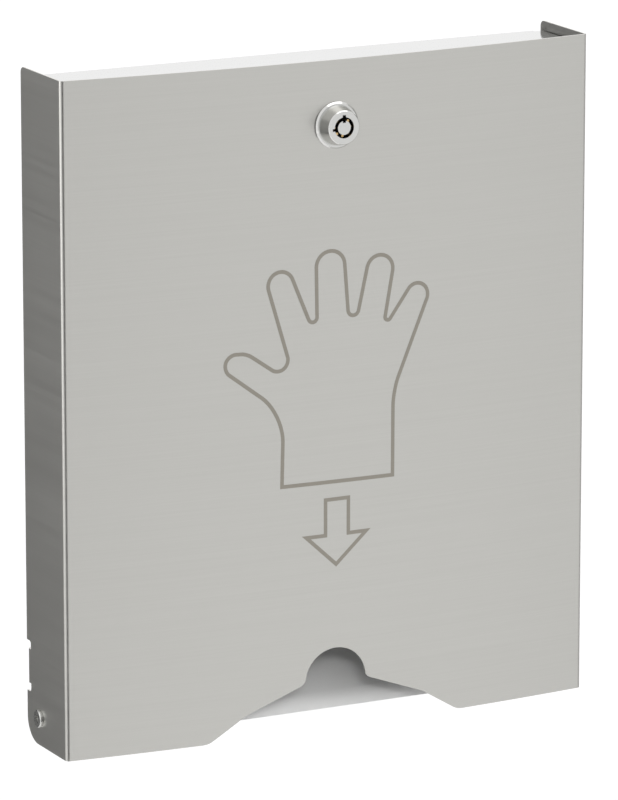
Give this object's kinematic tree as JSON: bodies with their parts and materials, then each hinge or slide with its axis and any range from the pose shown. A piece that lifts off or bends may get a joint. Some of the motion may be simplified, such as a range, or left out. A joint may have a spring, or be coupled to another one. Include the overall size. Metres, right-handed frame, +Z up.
{
  "type": "disposable glove dispenser",
  "caption": "Flat wall-hung steel dispenser for thin disposable gloves, with a bottom-hinged convex cover, a thumb notch in its lower edge and a tubular cam lock at the top.",
  "frame": {"origin": "on the wall plane, at the centre of the four wall holes", "axes": "+X to the right seen from the front, +Y towards the wall, +Z up"},
  "size_m": [0.2846, 0.0612, 0.33],
  "materials": {
    "brushed_steel": "fine horizontal brushing",
    "bright_steel": "bright, nearly mirror-like sheet",
    "lock_chrome": "polished chrome plate",
    "fastener_steel": "plain zinc or stainless",
    "pin_brass": "turned",
    "washer_nylon": "plain"
  },
  "bodies": {
    "wall_unit": {"wall_body": "bright_steel", "guide_plate": "bright_steel", "left_glove_peg": "bright_steel", "left_pivot_screw": "fastener_steel", "left_pivot_washer": "washer_nylon", "left_pivot_nut": "fastener_steel", "right_glove_peg": "bright_steel", "right_pivot_screw": "fastener_steel", "right_pivot_washer": "washer_nylon", "right_pivot_nut": "fastener_steel"},
    "cover_unit": {"cover": "brushed_steel", "lock_housing": "lock_chrome", "lock_washer": "fastener_steel", "lock_nut": "lock_chrome"},
    "lock_rotor": {"lock_plug": "lock_chrome", "stop_washer": "fastener_steel", "lock_cam": "fastener_steel", "cam_washer": "fastener_steel", "cam_screw": "fastener_steel"},
    "pins": {"lock_pin_1": "pin_brass", "lock_pin_2": "pin_brass", "lock_pin_3": "pin_brass", "lock_pin_4": "pin_brass", "lock_pin_5": "pin_brass", "lock_pin_6": "pin_brass", "lock_pin_7": "pin_brass"}
  },
  "joints": [
    {"name": "cover_hinge", "type": "hinge", "parent": "wall_unit", "child": "cover_unit", "pos_m": [0, -0.0148, -0.1665], "axis": [1, 0, 0], "range_deg": [0, 80]},
    {"name": "key_turn", "type": "hinge", "parent": "cover_unit", "child": "lock_rotor", "pos_m": [0, -0.0529, 0.1185], "axis": [0, -1, 0], "range_deg": [0, 90]},
    {"name": "pin_travel", "type": "slide", "parent": "lock_rotor", "child": "pins", "axis": [0, 1, 0], "range_m": [0, 0.0015], "stiffness_N_per_m": 150}
  ]
}
